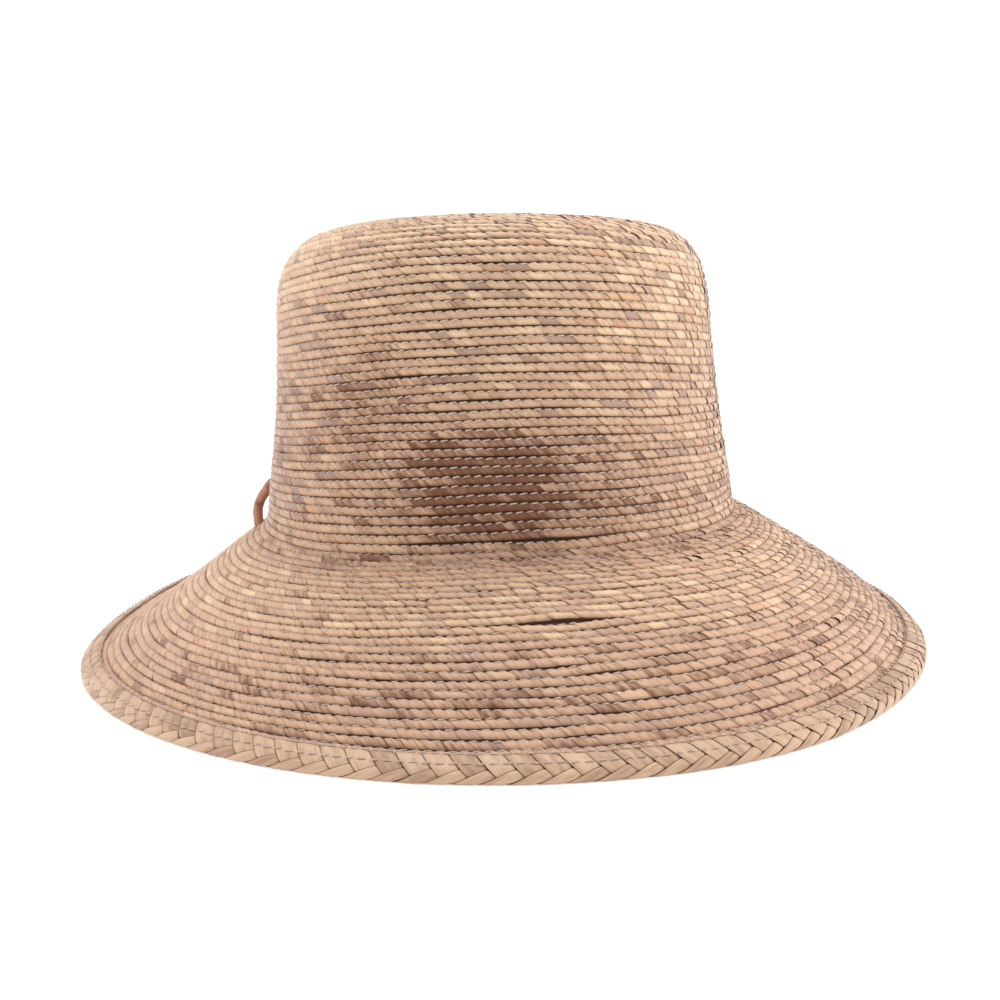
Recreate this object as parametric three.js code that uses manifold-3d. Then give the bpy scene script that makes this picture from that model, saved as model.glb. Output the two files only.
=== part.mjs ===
// Sun hat of sewn palm-leaf braid: an oval crown with a round shoulder, a sloping brim,
// a wide plait folded over the brim's edge, and a short leather lace loop at the hat's left side.
// Millimetres, +Z up, the front of the hat towards -Y, standing on its rim at z = 0.

import * as THREE from "three";
import { mergeVertices } from "three/addons/utils/BufferGeometryUtils.js";
import Module from "manifold-3d";

// Driving dimensions

const STRAW_WALL = 2.2; // thickness of the sewn braid
const SEAM_GAP = 0.3; // clearance between pieces that meet
const AROUND = 72; // divisions round the oval
const CROWN_RINGS = 16; // divisions up the crown
const BRIM_RINGS = 12; // divisions across the brim

const FOOT_HALF_WIDTH = 89; // outside of the crown's foot, from ear to ear
const FOOT_HALF_DEPTH = 104; // the same, from front to back
const FOOT_HEIGHT = 47; // of the crown's foot above the rim's plane
const CROWN_LEAN = THREE.MathUtils.degToRad(1.6); // the crown leans towards -X
const ROW_TILT = THREE.MathUtils.degToRad(1.5); // its foot and the brim's root rise towards +X
const TILT_LOST_AT_TIP = 0.8; // share of that tilt that is gone at the tip
const TILT_FADE = 5; // the brim keeps the tilt until near its rim
const BRIM_REACH = 67.5; // from the crown's foot to the brim's raw edge, measured level
const RAW_EDGE_WALL = 1.6; // thickness of the brim inside the plait
const LEVEL_EDGE = 4; // the last stretch of the brim lies level all round

// Outside of the crown: how far each section lies inside the foot's oval, and its height above the foot
const CROWN_SECTIONS = [
  { inset: 0, height: 0 },
  { inset: 1.6, height: 12 },
  { inset: 4.8, height: 36 },
  { inset: 7.0, height: 60 },
  { inset: 8.6, height: 80 },
  { inset: 11.6, height: 91.4 },
  { inset: 18, height: 99 },
  { inset: 28, height: 103 },
  { inset: 43, height: 104.8 },
  { inset: 63, height: 106 },
  { inset: FOOT_HALF_WIDTH, height: 106.5 },
];

const TIP_HEIGHT = CROWN_SECTIONS.at(-1).height;

// Upper side of the brim: level distance out from the crown's foot, and height above the rim's plane
const BRIM_SECTIONS = [
  { reach: 0, height: FOOT_HEIGHT },
  { reach: 1.4, height: 44.6 },
  { reach: 5, height: 42.2 },
  { reach: 12, height: 37.8 },
  { reach: 24, height: 29.8 },
  { reach: 38, height: 20.6 },
  { reach: 52, height: 11.4 },
  { reach: 61, height: 5.4 },
  { reach: BRIM_REACH, height: 1.9 },
];

// Soft dents of the straw: where each is deepest, how far it spreads and how deep it goes
const DENTS = [
  { name: "front hollow", angle: -3, height: 52, angleSpan: 17, heightSpan: 17, depth: 6 },
  { name: "front left crease", angle: -26, height: 98, angleSpan: 6, heightSpan: 18, depth: 2.6 },
  { name: "front left swell", angle: -48, height: 84, angleSpan: 18, heightSpan: 28, depth: -1.4 },
  { name: "left side", angle: -80, height: 95, angleSpan: 30, heightSpan: 60, depth: 1.9 },
  { name: "left shoulder", angle: -66, height: 150, angleSpan: 28, heightSpan: 14, depth: 2.5 },
];
const TIP_CLEAR = 50; // no dent reaches further in than this from the foot's oval

// Where the brim's oval swings out of true, most at the rim
const BRIM_SWAYS = [
  { name: "front right", angle: 30, angleSpan: 20, out: 2.5 },
  { name: "right", angle: 112, angleSpan: 24, out: 4 },
  { name: "left", angle: -96, angleSpan: 24, out: -7 },
];

// In front the brim droops in a curve: how far the middle of its slope stands above a straight one,
// round which angle, how far that spreads and where it ends, measured level from the crown's foot
const BRIM_BOW = { angle: 8, angleSpan: 46, rise: 8.5, end: 62 };

// Section of the plait, seen along the rim, round the raw edge
const PLAIT_LAYER = 1.1; // one side of the folded plait
const PLAIT_OVER = 7; // how far it covers the brim's upper side
const PLAIT_UNDER = 7; // and the lower side
const PLAIT_CHANNEL = RAW_EDGE_WALL / 2 + SEAM_GAP;
const PLAIT_HALF = PLAIT_CHANNEL + PLAIT_LAYER;
const PLAIT_BEVEL = { along: 0.8, off: 0.3 }; // at the edges of its two sides
const PLAIT_FOLD = { start: -1, round: { along: 0.8, off: 1.6 }, nose: { along: 1.5, off: 0.3 } };
const PLAIT_SOLE = { outer: { along: 1.3, off: -0.9 }, inner: -0.4 }; // the level strip the hat stands on

// The lace: a closed loop of round leather cord through the crown's wall and the brim's root
const LACE_WIDTH = 3;
const LACE_THICKNESS = 3.6;
const LACE_SIDES = 10;
const LACE_STEPS = 44;
const LACE_ANGLE = -86; // degrees round the hat from its front
const LACE_ROUTE = [
  { out: -1.8, height: 58.8 },
  { out: 1.4, height: 55.4 },
  { out: 3.6, height: 52.4 },
  { out: 4.9, height: 49.2 },
  { out: 5.1, height: 45.8 },
  { out: 4.5, height: 42 },
  { out: 2.7, height: 38.4 },
  { out: -0.6, height: 36.4 },
  { out: -3.9, height: 37.4 },
  { out: -5.6, height: 41.4 },
  { out: -5.9, height: 47.4 },
  { out: -5.9, height: 53 },
  { out: -4.8, height: 57.6 },
];

// Finishes
const TOASTED_STRAW = { color: 0xc59a7c, roughness: 0.6 };
const PLAIN_STRAW = { color: 0xcba184, roughness: 0.6 };
const PALE_STRAW = { color: 0xd9b08c, roughness: 0.5 };
const BROWN_LEATHER = { color: 0xa06f55, roughness: 0.7 };

const WELD = 1e-3; // points closer than this are one point

const wasm = await Module();
wasm.setup();

// The form of the hat

const radians = THREE.MathUtils.degToRad;

function bell(distance, span) {
  return Math.exp(-((distance / span) ** 2));
}

function angleBetween(a, b) {
  return Math.abs(((((a - b) % 360) + 540) % 360) - 180);
}

function dentAt(angle, height) {
  return DENTS.reduce((sum, d) => {
    const round = bell(angleBetween(angle, d.angle), d.angleSpan);
    return sum + d.depth * round * bell(height - d.height, d.heightSpan);
  }, 0);
}

function swayAt(angle, across) {
  return BRIM_SWAYS.reduce((sum, sway) => {
    return sum + across * sway.out * bell(angleBetween(angle, sway.angle), sway.angleSpan);
  }, 0);
}

function bowAt(angle, out) {
  const spread = bell(angleBetween(angle, BRIM_BOW.angle), BRIM_BOW.angleSpan);
  const along = THREE.MathUtils.clamp(out / BRIM_BOW.end, 0, 1);
  return BRIM_BOW.rise * spread * Math.sin(Math.PI * along);
}

// A point of the hat from its place round the oval, its level distance outside the foot's oval and its
// height. The crown leans as a whole, its rows tilt less towards the tip, and the brim is level at the rim.
function hatPoint(angle, out, height) {
  const across = THREE.MathUtils.clamp(out / (BRIM_REACH - LEVEL_EDGE), 0, 1);
  const up = Math.max(0, height - FOOT_HEIGHT) / TIP_HEIGHT;
  const tilt = ROW_TILT * (1 - across ** TILT_FADE) * (1 - TILT_LOST_AT_TIP * up);
  const dent = dentAt(angle, height) * THREE.MathUtils.smoothstep(out, -TIP_CLEAR, -TIP_CLEAR / 2);
  const r = out - dent + swayAt(angle, across);
  const x = (FOOT_HALF_WIDTH + r) * Math.sin(radians(angle));
  const y = -(FOOT_HALF_DEPTH + r) * Math.cos(radians(angle));
  const lean = Math.tan(CROWN_LEAN) * (1 - across) * (height - FOOT_HEIGHT);
  return new THREE.Vector3(x - lean, y, height + bowAt(angle, out) + Math.tan(tilt) * x);
}

// Points evenly spaced on a smooth curve through a table's rows, as Vector2(out, height)
function meridian(rows, steps) {
  const curve = new THREE.CatmullRomCurve3(rows.map((p) => new THREE.Vector3(p.x, p.y, 0)));
  return curve.getSpacedPoints(steps).map((p) => new THREE.Vector2(p.x, p.y));
}

// The same line moved to the inner side by a thickness that changes evenly from its first point to its last
function offsetInward(line, firstWall, lastWall) {
  return line.map((p, i) => {
    const before = line[Math.max(0, i - 1)];
    const after = line[Math.min(line.length - 1, i + 1)];
    const along = after.clone().sub(before).normalize();
    const wall = THREE.MathUtils.lerp(firstWall, lastWall, i / (line.length - 1));
    return new THREE.Vector2(p.x + along.y * wall, p.y - along.x * wall);
  });
}

function ringAt(out, height) {
  return Array.from({ length: AROUND }, (_, i) => hatPoint((i * 360) / AROUND, out, height));
}

// Surfaces and solids

// Skin over a row of rings. A closed row makes a tube round the hat; an open one ends in the tip's slit.
function skinOver(rings, closed) {
  const positions = rings.flat().flatMap((p) => [p.x, p.y, p.z]);
  const index = [];
  const count = rings[0].length;
  const last = closed ? rings.length : rings.length - 1;
  for (let j = 0; j < last; j++) {
    const next = ((j + 1) % rings.length) * count;
    for (let i = 0; i < count; i++) {
      const k = (i + 1) % count;
      index.push(j * count + i, next + i, next + k, j * count + i, next + k, j * count + k);
    }
  }
  const geometry = new THREE.BufferGeometry();
  geometry.setAttribute("position", new THREE.Float32BufferAttribute(positions, 3));
  geometry.setIndex(index);
  return geometry;
}

function solidFrom(geometry) {
  const merged = mergeVertices(geometry, WELD);
  return new wasm.Manifold(
    new wasm.Mesh({
      numProp: 3,
      vertProperties: merged.attributes.position.array,
      triVerts: new Uint32Array(merged.index.array),
    }),
  );
}

function geometryFrom(solid) {
  const mesh = solid.getMesh();
  const geometry = new THREE.BufferGeometry();
  geometry.setAttribute("position", new THREE.BufferAttribute(mesh.vertProperties, 3));
  geometry.setIndex(new THREE.BufferAttribute(mesh.triVerts, 1));
  geometry.computeVertexNormals();
  return geometry;
}

// The lace lies in the upright plane that faces outward at its angle; `spare` makes it fatter for its holes
function laceGeometry(spare) {
  const [fore, aft] = [1, -1].map((turn) => hatPoint(LACE_ANGLE + turn, 0, FOOT_HEIGHT));
  const side = fore.sub(aft).normalize();
  const route = new THREE.CatmullRomCurve3(
    LACE_ROUTE.map((p) => hatPoint(LACE_ANGLE, p.out, p.height)),
    true,
  );
  const rings = Array.from({ length: LACE_STEPS }, (_, i) => {
    const middle = route.getPointAt(i / LACE_STEPS);
    const along = route.getTangentAt(i / LACE_STEPS);
    const outward = new THREE.Vector3().crossVectors(along, side).normalize();
    const across = new THREE.Vector3().crossVectors(along, outward).normalize();
    return Array.from({ length: LACE_SIDES }, (_, k) => {
      const turn = (2 * Math.PI * k) / LACE_SIDES;
      return middle
        .clone()
        .addScaledVector(across, (LACE_WIDTH / 2 + spare) * Math.cos(turn))
        .addScaledVector(outward, (LACE_THICKNESS / 2 + spare) * Math.sin(turn));
    });
  });
  return skinOver(rings, true);
}

// Outline of the plait round the raw edge, as level distance and height, flat where it meets the surface
function plaitSection(edge, slope) {
  const along = new THREE.Vector2(Math.cos(slope), -Math.sin(slope));
  const off = new THREE.Vector2(Math.sin(slope), Math.cos(slope));
  const at = (s, n) => edge.clone().addScaledVector(along, s).addScaledVector(off, n);
  const { round, nose, start } = PLAIT_FOLD;
  const soleOuter = at(PLAIT_SOLE.outer.along, PLAIT_SOLE.outer.off);
  const soleInner = at(PLAIT_SOLE.inner, -PLAIT_HALF);
  soleOuter.y = 0;
  soleInner.y = 0;
  return [
    at(-PLAIT_OVER, PLAIT_CHANNEL),
    at(-PLAIT_OVER, PLAIT_HALF - PLAIT_BEVEL.off),
    at(-PLAIT_OVER + PLAIT_BEVEL.along, PLAIT_HALF),
    at(start, PLAIT_HALF),
    at(round.along, round.off),
    at(nose.along, nose.off),
    soleOuter,
    soleInner,
    at(-PLAIT_UNDER + PLAIT_BEVEL.along, -PLAIT_HALF),
    at(-PLAIT_UNDER, -PLAIT_HALF + PLAIT_BEVEL.off),
    at(-PLAIT_UNDER, -PLAIT_CHANNEL),
    at(0, -PLAIT_CHANNEL),
    at(0, PLAIT_CHANNEL),
  ];
}

function piece(name, solid, finish) {
  const material = new THREE.MeshStandardMaterial({ ...finish, metalness: 0 });
  const mesh = new THREE.Mesh(geometryFrom(solid), material);
  mesh.name = name;
  return mesh;
}

// Crown: outside from the tip down to the foot, then back up inside

function crownSolid() {
  const rows = CROWN_SECTIONS.map((s) => new THREE.Vector2(-s.inset, FOOT_HEIGHT + s.height));
  rows[0].y += SEAM_GAP / 2;
  const outside = meridian(rows, CROWN_RINGS).reverse();
  const inside = offsetInward(outside, STRAW_WALL, STRAW_WALL).reverse();
  inside[0].y = outside.at(-1).y;
  inside.at(-1).x = outside[0].x;
  const rings = [...outside, ...inside].map((p) => ringAt(p.x, p.y));
  return solidFrom(skinOver(rings, false));
}

// Brim: upper side from the foot out to the raw edge, then back underneath

function brimLines() {
  const rows = BRIM_SECTIONS.map((s) => new THREE.Vector2(s.reach, s.height));
  rows[0].y -= SEAM_GAP / 2;
  const upper = meridian(rows, BRIM_RINGS);
  const under = offsetInward(upper, STRAW_WALL, RAW_EDGE_WALL);
  under[0].y = upper[0].y;
  return { upper, under };
}

function brimSolid({ upper, under }) {
  const rings = [...upper, ...under.toReversed()].map((p) => ringAt(p.x, p.y));
  return solidFrom(skinOver(rings, true));
}

function plaitSolid({ upper, under }) {
  const rawEdge = upper.at(-1).clone().lerp(under.at(-1), 0.5);
  const run = upper.at(-1).clone().sub(upper.at(-2));
  const slope = Math.atan2(-run.y, run.x);
  rawEdge.x += SEAM_GAP * Math.cos(slope);
  rawEdge.y -= SEAM_GAP * Math.sin(slope);
  const rings = plaitSection(rawEdge, slope).map((p) => ringAt(p.x, p.y));
  return solidFrom(skinOver(rings, true));
}

const brimOutline = brimLines();
const laceHole = solidFrom(laceGeometry(SEAM_GAP));

const sunHat = new THREE.Group();
sunHat.name = "sun_hat";
sunHat.add(
  piece("crown", crownSolid().subtract(laceHole), TOASTED_STRAW),
  piece("brim", brimSolid(brimOutline).subtract(laceHole), PLAIN_STRAW),
  piece("rim_braid", plaitSolid(brimOutline), PALE_STRAW),
  piece("leather_loop", solidFrom(laceGeometry(0)), BROWN_LEATHER),
);

// The origin is the middle of the hat's plan
const middle = new THREE.Box3().setFromObject(sunHat).getCenter(new THREE.Vector3());
sunHat.children.forEach((mesh) => mesh.position.set(-middle.x, -middle.y, 0));

export default sunHat;
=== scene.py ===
# %% [markdown]
# # A sun hat of sewn palm-leaf braid
# The real hat is one long, narrow braid of palm leaf. A sewing machine lays it round and round from the
# middle of the tip, each row over the edge of the row before, down the crown and out over the brim.
# A wide plait of pale straws is folded over the last row, and a short leather lace hangs at the hat's
# left side. The solid model gives every main shape. This file dresses it in leaf, thread and leather.

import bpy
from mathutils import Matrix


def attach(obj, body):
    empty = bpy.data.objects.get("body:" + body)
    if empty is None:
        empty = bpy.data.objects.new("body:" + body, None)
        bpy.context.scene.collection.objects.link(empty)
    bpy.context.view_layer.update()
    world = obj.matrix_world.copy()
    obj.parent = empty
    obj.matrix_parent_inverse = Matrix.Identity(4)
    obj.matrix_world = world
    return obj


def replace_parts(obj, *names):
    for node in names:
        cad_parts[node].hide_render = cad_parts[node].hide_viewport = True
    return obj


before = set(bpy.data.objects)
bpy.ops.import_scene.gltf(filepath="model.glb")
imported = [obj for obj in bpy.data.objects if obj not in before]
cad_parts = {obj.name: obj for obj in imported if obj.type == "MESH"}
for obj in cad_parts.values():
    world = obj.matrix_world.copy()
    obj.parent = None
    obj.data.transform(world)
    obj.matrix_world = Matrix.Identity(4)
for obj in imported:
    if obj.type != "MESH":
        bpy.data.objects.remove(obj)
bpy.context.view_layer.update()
print("solids:", sorted(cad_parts))

# %% The tools
import math

import bpy
import numpy as np
from mathutils import Matrix, Vector

MM = 0.001
rng = np.random.default_rng(7)

# %% [markdown]
# ## The camera
# The camera comes first, because it decides how much detail can show. Its place was worked out from the
# oval of the rim: half a metre in front of the hat and a little under the height of the crown, with a
# 45 mm lens that looks slightly down. A small roll turns the hat's rows as they lie in the photograph.

# %% Camera
CAMERA_PLACE = (-3.6, -480.9, 123.9)
LOOKS_DOWN = math.radians(9.03)
CAMERA_ROLL = -0.0123
camera_data = bpy.data.cameras.new("camera")
camera_data.lens = 45
camera_data.sensor_width = 36
camera_data.clip_start = 0.01
camera = bpy.data.objects.new("camera", camera_data)
bpy.context.scene.collection.objects.link(camera)
camera.matrix_world = (
    Matrix.Translation(Vector(CAMERA_PLACE) * MM)
    @ Matrix.Rotation(math.pi / 2 - LOOKS_DOWN, 4, "X")
    @ Matrix.Rotation(CAMERA_ROLL, 4, "Z")
)
bpy.context.scene.camera = camera
print("camera at", [round(c / MM) for c in camera.location], "mm")

# %% [markdown]
# ## The form of the hat
# Every leaf has to lie on the same surface as the solid model, so the model's formula is written out
# again here. A point has a place round the oval in degrees, counted from the front, a level distance
# outside the foot of the crown, and a height. The formula adds the crown's lean, the slight tilt of the
# rows, the soft dents at the front and the left, the curve in which the front of the brim droops, and the
# places where its edge swings out of true. It works on whole arrays at once, because the hat shows more
# than seven thousand leaves on its outside alone.

# %% Sizes of the hat, in millimetres
FOOT_HALF_WIDTH = 89
FOOT_HALF_DEPTH = 104
FOOT_HEIGHT = 47
TIP_HEIGHT = 106.5
WALL = 2.2
CROWN_LEAN = math.radians(1.6)
ROW_TILT = math.radians(1.5)
BRIM_REACH = 67.5
LEVEL_EDGE = 4
EDGE_HEIGHT = 1.9
TIP_CLEAR = 50
# Near the middle of the tip, a straight seam joins two half circles: cosine of the turn where they meet
SEAM_END = 0.625

# Dents: where round the hat, how high, how wide, how tall, how deep
DENTS = [(-3, 52, 17, 17, 6), (-26, 98, 6, 18, 2.6), (-48, 84, 18, 28, -1.4)]
DENTS += [(-80, 95, 30, 60, 1.9), (-66, 150, 28, 14, 2.5)]
# Swings of the brim's edge: where round the hat, how wide, how far out
SWAYS = [(30, 20, 2.5), (112, 24, 4), (-96, 24, -7)]
# The front of the brim droops in a curve: where, how wide, how high its middle stands, where it ends
BOW_TURN, BOW_SPAN, BOW_RISE, BOW_END = 8, 46, 8.5, 62


# %% A point of the hat
def bell(distance, span):
    return np.exp(-((distance / span) ** 2))


def turn_between(turn, place):
    return (turn - place + 180) % 360 - 180


def ease(value, low, high):
    t = np.clip((value - low) / (high - low), 0, 1)
    return t * t * (3 - 2 * t)


def plan_of(turn, reach):
    """Level place round the oval. Near the middle of the tip the oval shrinks to a short straight seam."""
    side, ahead = np.sin(np.radians(turn)), np.cos(np.radians(turn))
    x, y = (FOOT_HALF_WIDTH + reach) * side, -(FOOT_HALF_DEPTH + reach) * ahead
    gap = np.maximum(FOOT_HALF_WIDTH + reach, 0)
    seam = FOOT_HALF_DEPTH - FOOT_HALF_WIDTH
    cap = np.clip(ahead / SEAM_END, -1, 1)
    widen = math.pi / 2 / math.acos(SEAM_END)
    bow = np.arctan2(side, ahead) * widen
    bow = np.where(ahead < -SEAM_END, np.pi - np.arctan2(side, -ahead) * widen, bow)
    straight = np.abs(ahead) < SEAM_END
    out_x = np.where(straight, np.sign(side), np.sin(bow))
    out_y = np.where(straight, 0, -np.cos(bow))
    near = 1 - ease(gap, 12, 55)
    return near * gap * out_x + (1 - near) * x, near * (gap * out_y - seam * cap) + (1 - near) * y


def bow_of(turn, reach):
    along = np.clip(reach / BOW_END, 0, 1)
    return BOW_RISE * bell(turn_between(turn, BOW_TURN), BOW_SPAN) * np.sin(np.pi * along)


def hat_point(turn, reach, height):
    across = np.clip(reach / (BRIM_REACH - LEVEL_EDGE), 0, 1)
    up = np.maximum(0, height - FOOT_HEIGHT) / TIP_HEIGHT
    tilt = ROW_TILT * (1 - across**5) * (1 - 0.8 * up)
    dent = sum(d * bell(turn_between(turn, a), w) * bell(height - h, t) for a, h, w, t, d in DENTS)
    sway = sum(out * bell(turn_between(turn, a), w) for a, w, out in SWAYS)
    x, y = plan_of(turn, reach - dent * ease(reach, -TIP_CLEAR, -TIP_CLEAR / 2) + across * sway)
    lean = math.tan(CROWN_LEAN) * (1 - across) * (height - FOOT_HEIGHT)
    rise = bow_of(turn, reach) + np.tan(tilt) * x
    return np.stack(np.broadcast_arrays(x - lean, y, height + rise), axis=-1)


# %% A smooth line from the tip to the rim
def smooth_line(knots, steps, closed=False):
    """Evenly spaced points on a smooth curve through the knots."""
    knots = np.array(knots, float)
    if closed:
        padded = np.vstack([knots[-1], knots, knots[:2]])
    else:
        padded = np.vstack([2 * knots[0] - knots[1], knots, 2 * knots[-1] - knots[-2]])
    gaps = np.linalg.norm(np.diff(padded, axis=0), axis=1) ** 0.5
    t = np.linspace(0, 1, 30)[:, None]
    pieces = []
    for i in range(1, len(padded) - 2):
        p0, p1, p2, p3 = padded[i - 1 : i + 3]
        d0, d1, d2 = gaps[i - 1 : i + 2]
        leave = ((p1 - p0) / d0 - (p2 - p0) / (d0 + d1) + (p2 - p1) / d1) * d1
        arrive = ((p2 - p1) / d1 - (p3 - p1) / (d1 + d2) + (p3 - p2) / d2) * d1
        ahead = (2 * t**3 - 3 * t**2 + 1) * p1 + (3 * t**2 - 2 * t**3) * p2
        pieces.append(ahead + (t**3 - 2 * t**2 + t) * leave + (t**3 - t**2) * arrive)
    line = np.vstack(pieces)
    run = np.concatenate([[0], np.cumsum(np.linalg.norm(np.diff(line, axis=0), axis=1))])
    even = np.linspace(0, run[-1], steps)
    return np.stack([np.interp(even, run, column) for column in line.T], axis=1), even


# Reach and height of the outside, from the middle of the tip to the brim's raw edge
OUTSIDE = [(-89, 153.5), (-63, 153), (-43, 151.8), (-28, 150), (-18, 146), (-11.6, 138.4), (-8.6, 127)]
OUTSIDE += [(-7, 107), (-4.8, 83), (-1.6, 59), (0, 47), (1.4, 44.6), (5, 42.2), (12, 37.8)]
OUTSIDE += [(24, 29.8), (38, 20.6), (52, 11.4), (61, 5.4), (BRIM_REACH, EDGE_HEIGHT)]
line, line_run = smooth_line(OUTSIDE, 1500)
slope = np.gradient(line, line_run, axis=0)
slope /= np.linalg.norm(slope, axis=1)[:, None]
FOOT_RUN = float(line_run[np.argmin(np.abs(line[:, 1] - FOOT_HEIGHT))])
RIM_RUN = float(line_run[-1])
print(f"tip to foot {FOOT_RUN:.1f} mm, tip to rim {RIM_RUN:.1f} mm")

# %% [markdown]
# ## A place on the hat's skin
# It is easier to sew in flat coordinates: degrees round the hat, and millimetres down its outside from
# the middle of the tip. `skin` turns them into a point in space, lifted off the surface by as much as a
# leaf or a thread stands proud. Sewn rows are not level rings. On the crown they ride up at the front
# and the back, and sink at the sides, and a hand-fed braid wanders a little. Where the brim bows, they
# slip down its flatter upper half. All of it is added here, so that everything sewn on follows.


# %% From flat coordinates to the hat
def row_rise(turn, run):
    """How far up the crown the rows ride at this place."""
    frown = np.interp(run, [0, 35, 90, 150, FOOT_RUN, FOOT_RUN + 14], [0, 3, 7, 6.5, 2.5, 0])
    wander = np.sin(np.radians(turn) * 3 + run * 0.11) + np.sin(np.radians(turn) * 7 - run * 0.23)
    return frown * np.cos(2 * np.radians(turn)) / 2 + 0.16 * wander * np.clip(run / 20, 0, 1)


def row_slip(turn, run):
    """Where the brim bows, its upper half is flatter, so rows of one width reach further down."""
    along = np.clip((run - FOOT_RUN) / (RIM_RUN - FOOT_RUN), 0, 1)
    return 0.52 * BOW_RISE * bell(turn_between(turn, BOW_TURN), BOW_SPAN) * np.sin(np.pi * along)


def skin(turn, run, lift=0.0):
    run = np.clip(run - row_rise(turn, run) + row_slip(turn, run), 0, RIM_RUN)
    reach, height, along, down = (np.interp(run, line_run, c) for c in (*line.T, *slope.T))
    return hat_point(turn, reach - down * lift, height + along * lift)


ring = hat_point(np.arange(0, 360, 0.25), BRIM_REACH + 1.5, EDGE_HEIGHT)
PLAN_MIDDLE = (ring.max(axis=0) + ring.min(axis=0)) / 2 * (1, 1, 0)
print("middle of the plan before it is centred:", PLAN_MIDDLE.round(2))

# %% [markdown]
# ## The row that winds round the hat
# All the leaves and stitches lie on one spiral, so it is measured once. It winds from the middle of the
# tip to the rim. Seen from the front it goes down towards the left. A table of turns against sewn length
# says where any millimetre of the braid ends up.

# %% The spiral
CROWN_ROW_WIDTH = 2.81
BRIM_ROW_WIDTH = 2.88
CROWN_ROWS = round(FOOT_RUN / CROWN_ROW_WIDTH)
BRIM_END = RIM_RUN - 5
BRIM_ROWS = round((BRIM_END - FOOT_RUN) / BRIM_ROW_WIDTH)
START_TURN = 150


def row_top(turns):
    """Millimetres down the outside to the row's upper edge, after so many turns."""
    crown = turns * FOOT_RUN / CROWN_ROWS
    brim = FOOT_RUN + (turns - CROWN_ROWS) * (BRIM_END - FOOT_RUN) / BRIM_ROWS
    return np.maximum(0, np.where(turns < CROWN_ROWS, crown, brim))


path_turns = np.arange(-1, CROWN_ROWS + BRIM_ROWS, 1 / 360)
path = skin(START_TURN - 360 * path_turns, (row_top(path_turns) + row_top(path_turns + 1)) / 2)
path_length = np.concatenate([[0], np.cumsum(np.linalg.norm(np.diff(path, axis=0), axis=1))])
FOOT_LENGTH = float(np.interp(CROWN_ROWS, path_turns, path_length))
RIM_LENGTH = float(path_length[-1])
print(f"{CROWN_ROWS} rows on the crown and {BRIM_ROWS} on the brim, {RIM_LENGTH / 1000:.1f} m of braid")


# %% [markdown]
# A hand that feeds the braid is never quite even. Each row drifts a few tenths of a millimetre up and
# down, so that some seams are tight and some show a dark line. At a few places the thread has let go,
# and a short slit has opened between two rows.

# %% A place on the spiral
drift_places = np.arange(0, RIM_LENGTH + 20, 15)
drift = rng.normal(0, 0.17, len(drift_places)) * np.where(drift_places < FOOT_LENGTH, 0.65, 1)
# Open slits: degrees round the hat, millimetres down its outside, half length in degrees, how wide
SLITS = [(8.5, 209.6, 5.2, 2.3), (-11.2, 221.5, 2.6, 0.35), (-12.2, 238, 3, 0.3)]
SLITS += [(12.5, 171.8, 9, 1.0), (-14, 173.8, 8, 0.45)]
SLITS += [(-28, 125.4, 7, 0.4), (-21, 121.5, 5, 0.4), (-21, 135.2, 8, 0.45), (-36, 130, 6, 0.3)]


def part_rows(turn, run, row_middle):
    """The rows on either side of each slit move apart."""
    for place, down, half, gape in SLITS:
        off = row_middle - down
        run = run + gape / 2 * np.sign(off) * bell(turn_between(turn, place), half) * bell(off, 4)
    return run


def on_row(length, across, lift):
    """Point at a length along the braid and a share of its width, from its upper edge to its lower."""
    turns = np.interp(length, path_length, path_turns)
    turn, top = START_TURN - 360 * turns, row_top(turns)
    width = row_top(turns + 1) - top
    run = top + across * width + np.interp(length, drift_places, drift) * np.clip(turns / 4, 0, 1)
    run = part_rows(turn, run, top + width / 2)
    return turn, run, skin(turn, run, lift)


# %% [markdown]
# ## Meshes from arrays
# Thousands of small pieces are quick to make when Blender gets whole arrays instead of one face at a
# time. Each leaf is a small grid of points, and each stitch a spindle of ten. They are joined into one
# mesh, and extra numbers go with every point, so that the material knows where on its leaf it is.


# %% Mesh helpers
def grid_faces(count, rows, columns):
    """Quads of `count` separate grids, each rows by columns points."""
    first = np.arange(count)[:, None, None] * rows * columns
    corner = first + np.arange(rows - 1)[None, :, None] * columns + np.arange(columns - 1)
    return np.stack([corner, corner + 1, corner + columns + 1, corner + columns], axis=-1).reshape(-1, 4)


def make_piece(name, points, faces, numbers, finish):
    """A mesh object from points in millimetres, not yet centred, with numbers for its material."""
    mesh = bpy.data.meshes.new(name)
    flat = ((points.reshape(-1, 3) - PLAN_MIDDLE) * MM).astype(np.float32)
    mesh.vertices.add(len(flat))
    mesh.vertices.foreach_set("co", flat.ravel())
    mesh.loops.add(faces.size)
    mesh.loops.foreach_set("vertex_index", faces.astype(np.int32).ravel())
    mesh.polygons.add(len(faces))
    mesh.polygons.foreach_set("loop_start", np.arange(0, faces.size, faces.shape[1], dtype=np.int32))
    for label, values in numbers.items():
        layer = mesh.attributes.new(label, "FLOAT_VECTOR", "POINT")
        vectors = np.stack([np.broadcast_to(value, points.shape[:-1]) for value in values], axis=-1)
        layer.data.foreach_set("vector", vectors.astype(np.float32).ravel())
    mesh.update(calc_edges=True)
    mesh.validate()
    mesh.shade_smooth()
    mesh.materials.append(finish)
    piece = bpy.data.objects.new(name, mesh)
    bpy.context.scene.collection.objects.link(piece)
    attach(piece, "root")
    triangles = len(faces) * (faces.shape[1] - 2)
    print(f"{name}: {len(flat)} points, {triangles} triangles")
    return piece


# %% [markdown]
# ## Shader sums
# A finish is a sum of masks and colours, and in nodes a short sum becomes a long chain. `Tone` wraps one
# socket, so that `1 - mask` or `grain * 0.3` adds the Math nodes by itself. Every other node comes
# from its one method `node`. Colours go through Mix nodes, because a Math node would turn them grey.


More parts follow.
